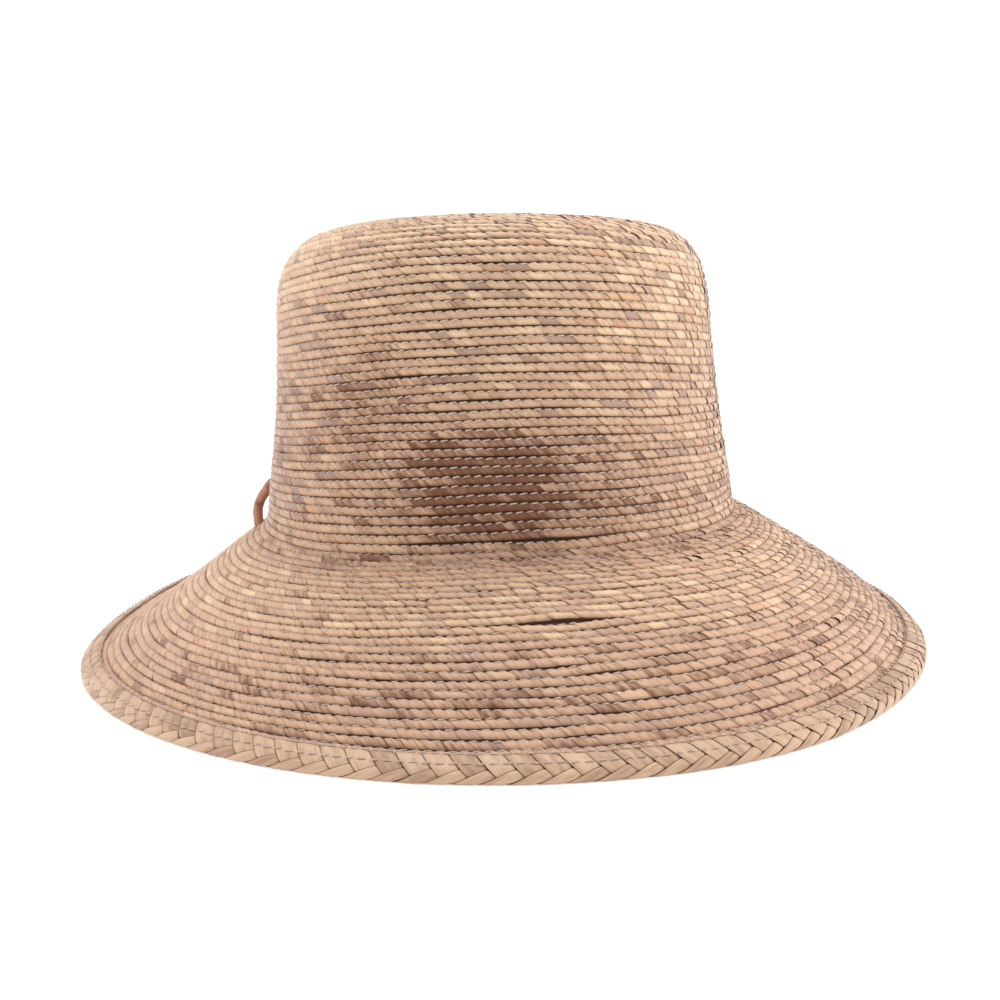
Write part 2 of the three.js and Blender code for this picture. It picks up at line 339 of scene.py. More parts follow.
# %% The Tone class
class Tone:
    def __init__(self, tree, socket=None):
        self.tree = tree
        self.socket = socket

    def node(self, kind, settings=None, inputs=None, output=0):
        made = self.tree.nodes.new(kind)
        for name, value in (settings or {}).items():
            setattr(made, name, value)
        for key, value in (inputs or {}).items():
            if isinstance(value, Tone):
                self.tree.links.new(value.socket, made.inputs[key])
            else:
                made.inputs[key].default_value = value
        return Tone(self.tree, made.outputs[output])

    def sum(self, operation, first, second):
        return self.node("ShaderNodeMath", {"operation": operation}, {0: first, 1: second})

    def __add__(self, other):
        return self.sum("ADD", self, other)

    __radd__ = __add__

    def __sub__(self, other):
        return self.sum("SUBTRACT", self, other)

    def __rsub__(self, other):
        return self.sum("SUBTRACT", other, self)

    def __mul__(self, other):
        return self.sum("MULTIPLY", self, other)

    __rmul__ = __mul__

    def between(self, low, high):
        """0 below low, 1 above high, and smooth between them."""
        settings = {"interpolation_type": "SMOOTHSTEP"}
        return self.node("ShaderNodeMapRange", settings, {0: self, 1: low, 2: high, 3: 0.0, 4: 1.0})

    def mix(self, none, full):
        """One colour where this mask is 0, another where it is 1."""
        return self.node("ShaderNodeMix", {"data_type": "RGBA"}, {0: self, 6: none, 7: full}, 2)

    def parts(self):
        split = self.node("ShaderNodeSeparateXYZ", None, {0: self}).socket.node
        return [Tone(self.tree, output) for output in split.outputs]

    def place(self, x, y, z):
        return self.node("ShaderNodeCombineXYZ", None, {0: x, 1: y, 2: z})

    def noise(self, place, scale=1.0, detail=2.0):
        return self.node("ShaderNodeTexNoise", None, {"Vector": place, "Scale": scale, "Detail": detail})

    def number(self, label):
        settings = {"attribute_type": "GEOMETRY", "attribute_name": label}
        return self.node("ShaderNodeAttribute", settings, None, "Vector")


def start_finish(name, **fixed):
    """A new material: its Tone to build with, and its shader, with the sockets that never vary set."""
    finish = bpy.data.materials.new(name)
    finish.use_nodes = True
    shader = finish.node_tree.nodes["Principled BSDF"]
    for socket, value in fixed.items():
        shader.inputs[socket.replace("_", " ")].default_value = value
    return finish, Tone(finish.node_tree), shader


def feed(shader, socket, tone):
    tone.tree.links.new(tone.socket, shader.inputs[socket])


def raise_relief(shader, relief, strength, distance):
    """Let the light catch a fine relief. The distance is its depth in metres."""
    inputs = {"Strength": strength, "Distance": distance, "Height": relief}
    feed(shader, "Normal", relief.node("ShaderNodeBump", None, inputs, "Normal"))


print("shader helpers ready")

# %% [markdown]
# ## Palm leaf
# Dried palm leaf is a flat strip with fine ribs along it, a soft sheen and uneven colour: straw where it
# dried pale, pinkish tan where it was smoked, and red-brown where it was toasted dark. The ribs run the
# way the strip runs, which is aslant across a braided row. The material takes four things from each
# point: where it is across and along the ribs, where it is on the row, how toasted, pink and pale its
# leaf is, with the painted shade and light of the patches, and how loose the seams are there with how
# strongly shade is painted into them and at the leaf ends. Shade is painted into the seams between rows,
# over the lower half of each row, into the needle holes and dimples between two stitches, and at the
# ends of the leaves.

# %% Leaf finish
STRAW = (0.80, 0.56, 0.345, 1)
TAN = (0.61, 0.37, 0.22, 1)
PINK = (0.56, 0.34, 0.23, 1)
MAUVE = (0.37, 0.235, 0.18, 1)
AMBER = (0.58, 0.30, 0.15, 1)
TOAST = (0.17, 0.062, 0.026, 1)
# Colour of all the painted shade on the leaf: seams, row undersides, needle holes and leaf ends
SEAM_SHADE = (0.075, 0.03, 0.014, 1)


# The last argument sets how many leaves are mauve or amber and how much painted shade falls on the lower
# half of each row; the brim takes less of both.
def leaf_finish(name, seam_shade_strength, shade_and_tint):
    finish, tone, shader = start_finish(name, IOR=1.45, Sheen_Weight=0.2, Sheen_Roughness=0.3)
    across_ribs, along_ribs, leaf = tone.number("leaf").parts()
    on_width, stitch, on_length = tone.number("row").parts()
    toasted, pink, pale = tone.number("tone").parts()
    # How strongly shade is painted into the seams, and how strongly shadow is painted at the leaf ends
    looseness_and_shade, ends, _ = tone.number("seam").parts()
    ribs = tone.noise(tone.place(across_ribs * 3.4, along_ribs * 0.22, leaf * 40), 1.0, 3.0)
    streaks = tone.noise(tone.place(across_ribs * 1.1, along_ribs * 0.12, leaf * 40 + 9), 1.0, 1.0)
    blotch = tone.noise(tone.place(across_ribs * 0.35, along_ribs * 0.3, leaf * 25 + 31), 1.0, 2.0)
    # The pale share is the leaf's own straw colour plus painted light from the patches; the toasted share
    # below likewise carries painted shade from them
    colour = pale.mix(TAN, STRAW)
    colour = pink.mix(colour, PINK)
    colour = ((1 - leaf.between(0.07, 0.09)) * (0.75 * shade_and_tint)).mix(colour, MAUVE)
    colour = (leaf.between(0.93, 0.95) * (0.6 * shade_and_tint)).mix(colour, AMBER)
    colour = ((streaks - 0.5) * 1.2 + (blotch - 0.5) * 0.9 + toasted).between(0.0, 1.0).mix(colour, TOAST)
    dark_rib = ((0.47 - ribs) * 7).between(0.0, 1.0) * 0.34
    colour = dark_rib.mix(colour, TOAST)
    light_rib = ((ribs - 0.56) * 6).between(0.0, 1.0) * 0.25
    colour = light_rib.mix(colour, STRAW)
    # Painted shade in the needle holes and in the dimples where the thread pulls the leaf in, between
    # stitches
    between_stitches = tone.node("ShaderNodeMath", {"operation": "COSINE"}, {0: stitch * (2 * math.pi)})
    hole = (between_stitches - 0.3).between(0.0, 0.6) * (1 - on_width.between(0.1, 0.26))
    pull = (between_stitches - 0.6).between(0.0, 0.4) * (1 - on_width.between(0.15, 0.45))
    # Painted shade in the seams between rows, at both edges of each row
    seam = 1 - on_width.between(-0.02, 0.09) + on_width.between(0.9, 1.0)
    # Painted shade over the lower half of each row, where it turns down and away from the overhead light
    under_shade = on_width.between(0.5, 1.02) * (0.3 + 0.7 * shade_and_tint)
    # Painted shadow at each end of a leaf, where it tucks under its neighbour; stronger towards the hat's
    # left
    joint_shade = 1 - on_length.between(0.0, 0.06) + on_length.between(0.82, 1.0) * 0.3
    # Sum of all the painted shade, mixed towards the shade colour below
    row_edge_shade = seam * (seam_shade_strength * looseness_and_shade) + hole * (0.25 + looseness_and_shade * 0.55) + under_shade * looseness_and_shade * 0.6
    dark = row_edge_shade + pull * looseness_and_shade * 0.15 + joint_shade * ends * (0.35 + leaf * 0.75) * (0.55 + on_width)
    colour = dark.between(0.0, 1.15).mix(colour, SEAM_SHADE)
    feed(shader, "Base Color", colour)
    feed(shader, "Roughness", 0.46 + ribs * 0.2 + dark * 0.25)
    relief = ribs * 0.5 + streaks * 0.5 - hole * 1.2 - pull * 1.4
    raise_relief(shader, relief, 0.55, 0.00022)
    return finish


crown_leaf = leaf_finish("crown_leaf", 0.9, 1.0)
brim_leaf = leaf_finish("brim_leaf", 0.75, 0.6)
print("leaf finishes:", crown_leaf.name, brim_leaf.name)

# %% [markdown]
# ## Cutting the braid into leaves
# Between two stitched seams the eye sees a row of slanting leaf ends, each a strip that comes from under
# one neighbour and goes under the next. They could be painted on, but light catches their edges, so each
# is a small curved patch of its own: high in the middle, tucked under at the seams, with one end over
# the next leaf. Their lengths are uneven, as hand-plaited leaf is. At the front the seams are deep,
# because the hat has been pressed there, and shade is painted more strongly into them. Shadow is also
# painted at the leaf ends, most towards the hat's left. Each leaf gets its colour by chance, and soft
# patches are laid over: tints, painted shade where the hat is darker and painted light where it is paler.

# %% Leaf patches
# Cross-section of a row: share of its width, and millimetres off the solid's surface
ROW_SECTION = [(-0.05, -0.75), (0.04, -0.1), (0.16, 0.3), (0.38, 0.56)]
ROW_SECTION += [(0.64, 0.58), (0.84, 0.3), (0.96, -0.15), (1.03, -0.75)]
ROW_SECTION = np.array(ROW_SECTION)
ROW_WIDTH = 2.9
LEAF_SLANT = 2.6
# Cosine of the angle between a leaf's ribs and the line square to its row
RIB_COSINE = 0.74
STITCH_PITCH = 3.3


def looseness(turn):
    """The seams are loose and deep at the front, where the hat has been pressed, and tight elsewhere. The
    same number sets how strongly shade is painted into them.
    """
    return 0.25 + 0.75 * bell(turn_between(turn, -4), 40)


def leaf_end_shade(turn):
    """How strongly shadow is painted at the leaf ends: most towards the hat's left."""
    return 0.5 + 0.5 * bell(turn_between(turn, -50), 60)


def leaf_lengths(first, last, mean):
    """Uneven leaf lengths that fill the braid from one length to another."""
    count = int((last - first) / mean)
    lengths = mean * (0.5 + rng.beta(1.6, 2.2, count) * 1.2)
    lengths *= (last - first) / lengths.sum()
    return first + np.concatenate([[0], np.cumsum(lengths)[:-1]]), lengths


def strand_colours(count):
    """Four strands are plaited, so each fourth leaf is the same strip until a new one is laid in."""
    colours = np.zeros((count, 3))
    for strand in range(4):
        own = np.arange(strand, count, 4)
        change = np.cumsum(rng.integers(3, 9, len(own)))
        colours[own] = rng.random((change.max() + 1, 3))[np.searchsorted(change, np.arange(len(own)))]
    return colours


# Patches of leaf tint, painted shade and painted light: place round the hat, millimetres down, both
# spreads, toasted, pink, pale
# On the crown: the dark patch low on the front is toasted leaf and painted shade of the hollow there. The
# darker patches at the crease, low on the right and on the left wall are painted shade, with some pink
# tint. The pale band round the shoulder and the pale patch on the middle of the wall are painted light.
CROWN_TINTS_SHADE_AND_LIGHT = [(-2, 157, 17, 16, 1.25, 0.1, -1), (-28, 130, 14, 20, 0.4, 0.1, -0.35)]
CROWN_TINTS_SHADE_AND_LIGHT += [(28, 163, 16, 18, 0.25, 0.3, -0.3), (-62, 135, 26, 45, 0.27, 0.2, -0.3)]
CROWN_TINTS_SHADE_AND_LIGHT += [(0, 80, 999, 24, -0.25, -0.1, 0.7), (10, 116, 26, 20, -0.1, 0, 0.25)]
# On the brim: the darker band low on the front is painted shade with a pink tint, the pale band higher up
# is painted light, and the dark band next to the crown's foot is painted shade under the crown.
BRIM_TINTS_SHADE_AND_LIGHT = [(20, RIM_RUN - 22, 110, 16, 0.06, 0.45, -0.3)]
BRIM_TINTS_SHADE_AND_LIGHT += [(0, RIM_RUN - 50, 999, 12, -0.1, -0.05, 0.25)]
BRIM_TINTS_SHADE_AND_LIGHT += [(0, FOOT_RUN + 3, 70, 9, 0.3, 0.15, -0.35)]


def leaf_tones(count):
    """How toasted, pink and pale each leaf is, from chance and its strand."""
    chance = strand_colours(count)
    toasted = 0.04 + 0.5 * np.clip(chance[:, 0] - 0.74, 0, 1) / 0.26 + rng.normal(0, 0.05, count)
    return np.stack([toasted, 0.85 * chance[:, 1], 1.1 * np.clip(chance[:, 2] - 0.35, 0, 1)])


def tones_at(turn, run, tones, tints_shade_and_light):
    """The same at every point, with the patches of tint, painted shade and painted light laid over. Each
    leaf takes them up by its own amount.
    """
    tones = [tone[:, None, None] + 0 * turn for tone in tones]
    strength = 0.55 + 0.8 * rng.random((turn.shape[0], 1, 1))
    for place, down, wide, tall, *shift in tints_shade_and_light:
        here = bell(turn_between(turn, place), wide) * bell(run - down, tall) * strength
        tones = [tone + here * amount for tone, amount in zip(tones, shift)]
    return [np.clip(tone, 0, 1) for tone in tones]


# %% Rows of leaves
def sew_leaves(name, first, last, mean, finish, tints_shade_and_light):
    start, length = leaf_lengths(first, last, mean)
    count = len(start)
    on_length = np.array([-0.03, 0.5, 1.03])[None, :, None]
    on_width, rise = ROW_SECTION.T[:, None, None, :]
    along = start[:, None, None] + on_length * length[:, None, None] - LEAF_SLANT * (on_width - 0.5)
    bulge = 0.1 * (1 - (2 * on_length - 1) ** 2)
    lap = (0.06 + rng.exponential(0.05, (count, 1, 1))) * (2 * on_length - 1)
    tilt = rng.normal(0, 0.05, (count, 1, 1)) + rng.normal(0, 0.14, (count, 1, 1)) * (on_width - 0.5)
    inside = (on_width > 0) & (on_width < 1)
    place = on_row(along, on_width, 0)[0]
    # How loose the seams are, which also sets the painted shade in them, and how strongly shadow is
    # painted at the leaf ends
    looseness_and_shade, ends = looseness(place), leaf_end_shade(place)
    rise = np.where(rise < 0, rise * (0.2 + 0.8 * looseness_and_shade), rise * (0.6 + 0.4 * looseness_and_shade))
    turn, run, points = on_row(along, on_width, rise + (bulge + lap + tilt) * inside)
    tones = tones_at(turn, run, leaf_tones(count), tints_shade_and_light)
    straight = along + on_width * LEAF_SLANT
    numbers = {
        "leaf": (straight * RIB_COSINE, on_width * ROW_WIDTH / RIB_COSINE, rng.random((count, 1, 1))),
        "row": (on_width, straight / STITCH_PITCH, on_length),
        # Strengths of the painted seam shade and of the painted leaf-end shadow
        "seam": (looseness_and_shade, ends, 0),
        "tone": tones,
    }
    return make_piece(name, points, grid_faces(count, 3, len(ROW_SECTION)), numbers, finish)


crown = sew_leaves("crown_rows", 0, FOOT_LENGTH, 6.6, crown_leaf, CROWN_TINTS_SHADE_AND_LIGHT)
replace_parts(crown, "crown")
brim = sew_leaves("brim_rows", FOOT_LENGTH, RIM_LENGTH, 7.2, brim_leaf, BRIM_TINTS_SHADE_AND_LIGHT)
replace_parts(brim, "brim")

# %% [markdown]
# One leaf end has sprung out of its row, low on the front of the crown. It is a patch like the others, but
# its left end stands off the hat, so that it shows a pale edge and throws a small shadow.


# %% The loose leaf
MM_PER_DEGREE = 1.75


def loose_leaf(name, turn, run):
    """A curled leaf end, on the right of this place."""
    share, on_width = np.meshgrid(np.linspace(0, 1, 8), np.linspace(0, 1, 6), indexing="ij")
    across = turn + (share * 5.5 + on_width * 3.4 * (1 - share) ** 2) / MM_PER_DEGREE
    down = run + 0.4 + 2.5 * on_width
    lift = 0.5 + 1.5 * (1 - share) ** 3 + 0.45 * np.sin(np.pi * on_width) - 0.3 * on_width
    points = skin(across, down, lift)
    sheet = np.stack([points, skin(across, down, lift - 0.25)[::-1]])
    numbers = {
        "leaf": (0, on_width * 3, 0.5),
        "row": (on_width, 0.5, 0.3),
        # Painted seam shade and leaf-end shadow, as on the leaves round it
        "seam": (0.9, 0.4, 0),
        "tone": (0.5, 0.3, 0),
    }
    return make_piece(name, sheet, grid_faces(2, 8, 6)[:, ::-1], numbers, crown_leaf)


loose_leaf("loose_leaf", 8.4, 155.6)

# %% [markdown]
# ## The back of the braid
# Under the leaves that show lies the rest of the braid. Inside the crown and under the brim it shows its
# back, flatter and plainer, with no thread pulled over it. A thin core between front and back keeps
# daylight from showing through the seams. It is coloured as toasted leaf in full painted shade, standing
# for the shade deep in the seams.


# %% The core and the backs
def backing(name, first_run, last_run, lift, finish):
    """A plain skin between two rows."""
    turn = np.linspace(0, 360, 181)[:, None]
    run = np.linspace(first_run, last_run, int((last_run - first_run) / 2.2))[None, :]
    points = skin(turn, run, lift)
    # Toasted, and in full painted shade: the core stands for the shade deep in the seams
    numbers = {"leaf": (0, 0, 0), "row": (0, 0, 0), "seam": (1, 0, 0), "tone": (1, 0, 0)}
    return make_piece(name, points[None], grid_faces(1, *points.shape[:2]), numbers, finish)


def line_leaves(name, first, last, mean, finish):
    """The back of the rows, seen from inside the crown and from under the brim."""
    start, length = leaf_lengths(first, last, mean)
    count = len(start)
    on_length = np.array([0.0, 1.0])[None, :, None]
    section = np.array([(-0.02, 0.3), (0.1, -0.1), (0.5, -0.35), (0.9, -0.1), (1.02, 0.3)])
    on_width, rise = section.T[:, None, None, :]
    along = start[:, None, None] + on_length * length[:, None, None] + LEAF_SLANT * (on_width - 0.5)
    turn, run, points = on_row(along, on_width, -WALL + rise + 0.12 * (2 * on_length - 1))
    tones = tones_at(turn, run, leaf_tones(count), [])
    numbers = {
        "leaf": (along * RIB_COSINE - on_width * 2, on_width * 3, rng.random((count, 1, 1))),
        "row": (on_width, 0.5, on_length),
        # Shade is painted into their seams and at their leaf ends at full strength
        "seam": (1, 0.5, 0),
        "tone": tones,
    }
    faces = grid_faces(count, 2, len(section))[:, ::-1]
    return make_piece(name, points, faces, numbers, finish)


backing("crown_core", 0.5, FOOT_RUN + 1, -1.0, crown_leaf)
backing("brim_core", FOOT_RUN, RIM_RUN - 0.5, -0.9, brim_leaf)
line_leaves("crown_inside", 0, FOOT_LENGTH, 6.6, crown_leaf)
line_leaves("brim_underside", FOOT_LENGTH, RIM_LENGTH, 6.6, brim_leaf)

# %% [markdown]
# ## Stitches
# A chain of pale cotton stitches holds each row on the one above it. Each stitch shows as a short, plump
# dash along the row's upper edge, a little higher at its right end, and dips into the leaf at both ends.
# One stitch is a small closed spindle of sixteen triangles, because there are many thousands of them.

# %% Thread finish
THREAD_LIGHT = (0.66, 0.57, 0.49, 1)
THREAD_DARK = (0.40, 0.29, 0.22, 1)
THREAD_DULL = (0.52, 0.42, 0.37, 1)


def thread_finish(name, light, dark):
    finish, tone, shader = start_finish(name, Roughness=0.6, Sheen_Weight=0.15)
    along, around, stitch = tone.number("thread").parts()
    twist = tone.node("ShaderNodeMath", {"operation": "SINE"}, {0: along * 26 + around * 6.3})
    worn = tone.noise(tone.place(along * 3, around * 2, stitch * 60), 1.0, 2.0)
    dull = ((worn - 0.45) * 2.2 + twist * 0.18 + 0.18).between(0.0, 1.0)
    feed(shader, "Base Color", dull.mix(light, dark))
    raise_relief(shader, twist, 0.4, 0.0001)
    return finish


thread = thread_finish("sewing_thread", THREAD_LIGHT, THREAD_DARK)
dull_thread = thread_finish("dull_thread", THREAD_DULL, THREAD_DARK)
# One stitch from left to right: share of its length, place on the row's width, height, radius
STITCH = [(0, 0.3, 0.15, 0), (0.25, 0.18, 0.46, 0.25), (0.78, 0.09, 0.34, 0.25), (1, 0.1, -0.1, 0)]
STITCH_LENGTH = 2.95


# %% Rows of stitches
def spindle_faces(count):
    """Triangles of `count` spindles, each two end points and two rings of four."""
    ring = np.arange(4)
    after = (ring + 1) % 4
    near, far = 2 + ring, 6 + ring
    faces = [np.stack([0 * ring, 2 + after, near], 1), np.stack([0 * ring + 1, far, 6 + after], 1)]
    faces += [np.stack([near, 2 + after, far], 1), np.stack([2 + after, 6 + after, far], 1)]
    one = np.concatenate(faces)
    return (np.arange(count)[:, None, None] * 10 + one[None]).reshape(-1, 3)


def stitch_points(place):
    """Ten points for each stitch. `place` gives the hat's point for a station, sideways and up."""
    points = [place(0, 0, 0), place(3, 0, 0)]
    for station in (1, 2):
        radius = STITCH[station][3]
        for quarter in range(4):
            angle = quarter * math.pi / 2
            points.append(place(station, radius * math.cos(angle), radius * math.sin(angle)))
    return np.stack(points, axis=1)


def thread_numbers(count):
    along = np.array([0, 1] + [STITCH[1][0]] * 4 + [STITCH[2][0]] * 4)
    around = np.array([0, 0] + [0, 0.25, 0.5, 0.75] * 2)
    return {"thread": (along, around, rng.random((count, 1)))}


def sew_rows(name, first, last, finish):
    middle = np.arange(math.ceil(first / STITCH_PITCH) + 0.5, last / STITCH_PITCH - 0.5) * STITCH_PITCH
    count = len(middle)
    size = rng.normal(1, 0.05, count)
    slip = rng.normal(0, 0.03, count)
    sunk = rng.normal(0, 0.05, count)

    def place(station, side, up):
        share, width, height, _ = STITCH[station]
        along = middle + (0.5 - share) * STITCH_LENGTH * size
        plump = 0.55 + 0.45 * looseness(on_row(along, width, 0)[0])
        return on_row(along, width + slip + side * plump / ROW_WIDTH, (height + sunk + up) * plump)[2]

    points = stitch_points(place)
    return make_piece(name, points, spindle_faces(count), thread_numbers(count), finish)


sew_rows("crown_stitches", 4, FOOT_LENGTH, thread)
sew_rows("brim_stitches", FOOT_LENGTH, RIM_LENGTH, dull_thread)

# %% [markdown]
# ## The plait on the rim
# The edge is bound by a plait of pale, flat straws, about two centimetres wide and folded in half. Each
# straw slants down to the right over the top of the rim, dives under the next one along a zigzag
# line, and comes back slanting down to the left round the fold. Unrolled, the plait is a flat pattern:
# length along the rim, and distance round the fold. The pattern underneath is the one on top turned
# half round, so one function makes both.

# %% The fold's section
RAW_WALL = 1.6
rim_slope = math.atan2(-(line[-1] - line[-60])[1], (line[-1] - line[-60])[0])
RIM_ALONG = np.array([math.cos(rim_slope), -math.sin(rim_slope)])
RIM_OFF = np.array([math.sin(rim_slope), math.cos(rim_slope)])
RIM_MIDDLE = line[-1] - RIM_OFF * RAW_WALL / 2 + RIM_ALONG * 0.3
# Distance past the raw edge and off its middle layer, round the fold
FOLD = [(-7, 1.15), (-6.85, 1.75), (-6.2, 2.2), (-3.6, 2.3), (-1.2, 2.2), (0.75, 1.6), (1.5, 0.35)]
FOLD += [(1.15, -1.0), (-0.6, -2.1), (-3.5, -2.25), (-6.2, -2.2), (-6.85, -1.8), (-7, -1.1)]
fold, fold_run = smooth_line(FOLD, 400)
fold_turn = np.gradient(fold, fold_run, axis=0)
fold_turn /= np.linalg.norm(fold_turn, axis=1)[:, None]
FOLD_WIDTH = float(fold_run[-1])
rim_turns = np.arange(0, 360.01, 0.25)
rim_ring = hat_point(rim_turns, BRIM_REACH, EDGE_HEIGHT)
rim_length = np.concatenate([[0], np.cumsum(np.linalg.norm(np.diff(rim_ring, axis=0), axis=1))])
RIM_ROUND = float(rim_length[-1])
STRAW_WIDTH = 7.45
STRAWS = round(RIM_ROUND / STRAW_WIDTH)
STRAW_PITCH = RIM_ROUND / STRAWS
print(f"{STRAWS} straws on {RIM_ROUND:.0f} mm of rim, {FOLD_WIDTH:.1f} mm round the fold")


def on_fold(along, round_fold, lift):
    """Point at a length along the rim and a distance round the fold, lifted off it."""
    turn = np.interp(along % RIM_ROUND, rim_length, rim_turns)
    s, n, ds, dn = (np.interp(round_fold, fold_run, c) for c in (*fold.T, *fold_turn.T))
    s, n = s - dn * lift, n + ds * lift
    level = RIM_MIDDLE[0] + RIM_ALONG[0] * s + RIM_OFF[0] * n
    height = np.maximum(RIM_MIDDLE[1] + RIM_ALONG[1] * s + RIM_OFF[1] * n, 0.02)
    return hat_point(turn, level, height)


# %% The pattern of the plait
# The zigzag line runs between these two distances round the fold
HIGH = 5.8
LOW = 8.4


def back_slant(round_fold):
    """How far a straw on the upper side has gone to the right at this distance round the fold."""
    return 0.62 * round_fold + 0.0018 * round_fold**3


FORE_SLANT = (STRAW_PITCH - back_slant(LOW) + back_slant(HIGH)) / (LOW - HIGH)


def upper_straws(share, reach):
    """Flat pattern of the straws on top: share across a straw and reach along it."""
    round_fold = 0.15 + reach * (LOW + (HIGH - LOW) * share - 0.15)
    return share * STRAW_PITCH + back_slant(round_fold), round_fold


def fold_straws(share, reach):
    """Flat pattern of the straws that go round the fold."""
    top = HIGH + (LOW - HIGH) * share
    bottom = FOLD_WIDTH - LOW + (LOW - HIGH) * share
    round_fold = top + reach * (bottom - top)
    return back_slant(HIGH) + share * STRAW_PITCH - FORE_SLANT * (round_fold - HIGH), round_fold


def under_straws(share, reach):
    """The upper pattern, turned half round."""
    along, round_fold = upper_straws(1 - share, 1 - reach)
    corner = fold_straws(0, 1)[0]
    return corner + back_slant(LOW) - along, FOLD_WIDTH - round_fold


# %% Plait finish
PLAIT_PALE = (0.57, 0.38, 0.25, 1)
PLAIT_TAN = (0.34, 0.20, 0.12, 1)
# Dark of the fibre lines, and of the painted shade where straws meet and dive under
PLAIT_LINE_AND_SHADE = (0.13, 0.06, 0.03, 1)


def plait_finish():
    finish, tone, shader = start_finish("rim_straw_leaf", IOR=1.45, Sheen_Weight=0.05)
    across, along, leaf = tone.number("leaf").parts()
    on_width, on_length, chance = tone.number("row").parts()
    ribs = tone.noise(tone.place(across * 3.2, along * 0.16, leaf * 40), 1.0, 3.0)
    broad = tone.noise(tone.place(across * 0.7, along * 0.16, leaf * 40 + 5), 1.0, 2.0)
    colour = ((broad - 0.5) * 1.6 + chance * 0.7).between(0.0, 1.0).mix(PLAIT_PALE, PLAIT_TAN)
    colour = (((0.46 - ribs) * 6).between(0.0, 1.0) * 0.3).mix(colour, PLAIT_LINE_AND_SHADE)
    # Painted shade along each straw's edges and at its ends, where it meets and dives under the next
    straw_edge_shade = (1 - on_width.between(0.0, 0.05)) * 0.9 + on_width.between(0.93, 1.0) * 0.6
    straw_end_shade = (1 - on_length.between(0.0, 0.04)) * 0.7 + on_length.between(0.95, 1.0) * 0.7
    dark = (straw_edge_shade + straw_end_shade).between(0.0, 1.0)
    feed(shader, "Base Color", dark.mix(colour, PLAIT_LINE_AND_SHADE))
    feed(shader, "Roughness", 0.42 + ribs * 0.2)
    raise_relief(shader, ribs * 0.7 + broad * 0.4, 0.5, 0.0002)
    return finish


plait_leaf = plait_finish()


# %% Straws of the plait
def plait(name):
    share = np.linspace(0, 1, 7)[None, :, None]
    reach = np.linspace(0, 1, 9)[None, None, :]
    number = np.arange(STRAWS)[:, None, None]
    points, leaf, row = [], [], []
    for pattern, ends in ((upper_straws, (0, 1)), (fold_straws, (1, 1)), (under_straws, (1, 0))):
        along, round_fold = pattern(share, reach)
        chance = rng.random((STRAWS, 1, 1))
        bulge = 0.34 * (1 - (2 * share - 1) ** 4) * np.ones_like(reach)
        tuck = 0.4 * (ends[0] * (1 - ease(reach, 0, 0.16)) + ends[1] * ease(reach, 0.84, 1))
        lap = 0.16 * (1 - share) + rng.normal(0, 0.05, (STRAWS, 1, 1))
        spots = on_fold(number * STRAW_PITCH + along, round_fold + 0 * number, bulge + lap - tuck - 0.3)
        points.append(spots)
        shape = spots.shape[:3]
        slant = share * STRAW_PITCH * 0.8
        leaf.append([np.broadcast_to(v, shape) for v in (slant, reach * 9, chance)])
        row.append([np.broadcast_to(v, shape) for v in (share, reach, chance[:, ::-1])])
    numbers = {"leaf": map(np.concatenate, zip(*leaf)), "row": map(np.concatenate, zip(*row))}
    points = np.concatenate(points)
    faces = grid_faces(len(points), 7, 9)[:, ::-1]
    return make_piece(name, points, faces, numbers, plait_leaf)


rim = plait("rim_plait")
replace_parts(rim, "rim_braid")


# %% The plait's stitches
def sew_rim(name, round_fold, pitch, size):
    count = round(RIM_ROUND / pitch)
    middle = (np.arange(count) + 0.5) * RIM_ROUND / count
    slip = rng.normal(0, 0.12, count)

    def place(station, side, up):
        share, width, height, _ = STITCH[station]
        along = middle + (share - 0.5) * size
        return on_fold(along, round_fold + slip + 1.6 * width + side, height + up - 0.05)

    points = stitch_points(place)
    faces = spindle_faces(count)[:, ::-1]
    return make_piece(name, points, faces, thread_numbers(count), dull_thread)


sew_rim("rim_stitches", 4.2, 3.6, 3.0)
sew_rim("rim_edge_stitches", 0.5, 3.3, 2.8)

# %% [markdown]
# ## The leather lace
# At the hat's left side a short leather lace goes through the crown just above its foot and comes back
# through the root of the brim, so that it stands as a small loop to tie something to. It is a thin tube
# along the same route as the solid, slightly flat and uneven, in dull red-brown leather that is darker
# where it is worn and creased.

# %% Leather finish
LACE_LIGHT = (0.50, 0.25, 0.165, 1)
LACE_DARK = (0.20, 0.075, 0.045, 1)


def leather_finish():
    finish, tone, shader = start_finish("lace_leather", IOR=1.45)
    along, around, _ = tone.number("leaf").parts()
    grain = tone.noise(tone.place(along * 2.4, around * 2.4, 0), 1.0, 4.0)
    worn = tone.noise(tone.place(along * 0.35, around * 0.5, 4), 1.0, 2.0)
    creases = tone.noise(tone.place(along * 5, around * 0.8, 8), 1.0, 2.0)
    colour = ((worn - 0.4) * 2.2).between(0.0, 1.0).mix(LACE_LIGHT, LACE_DARK)
    colour = (((0.45 - creases) * 5).between(0.0, 1.0) * 0.5).mix(colour, LACE_DARK)
    feed(shader, "Base Color", colour)
    feed(shader, "Roughness", 0.5 + grain * 0.3)
    raise_relief(shader, grain + creases, 0.6, 0.0002)
    return finish


lace_leather = leather_finish()

# %% The lace
LACE_HALF_WIDTH = 1.5
LACE_HALF_THICKNESS = 1.8
LACE_TURN = -86
LACE_ROUTE = [(-1.8, 58.8), (1.4, 55.4), (3.6, 52.4), (4.9, 49.2), (5.1, 45.8), (4.5, 42), (2.7, 38.4)]
LACE_ROUTE += [(-0.6, 36.4), (-3.9, 37.4), (-5.6, 41.4), (-5.9, 47.4), (-5.9, 53), (-4.8, 57.6)]


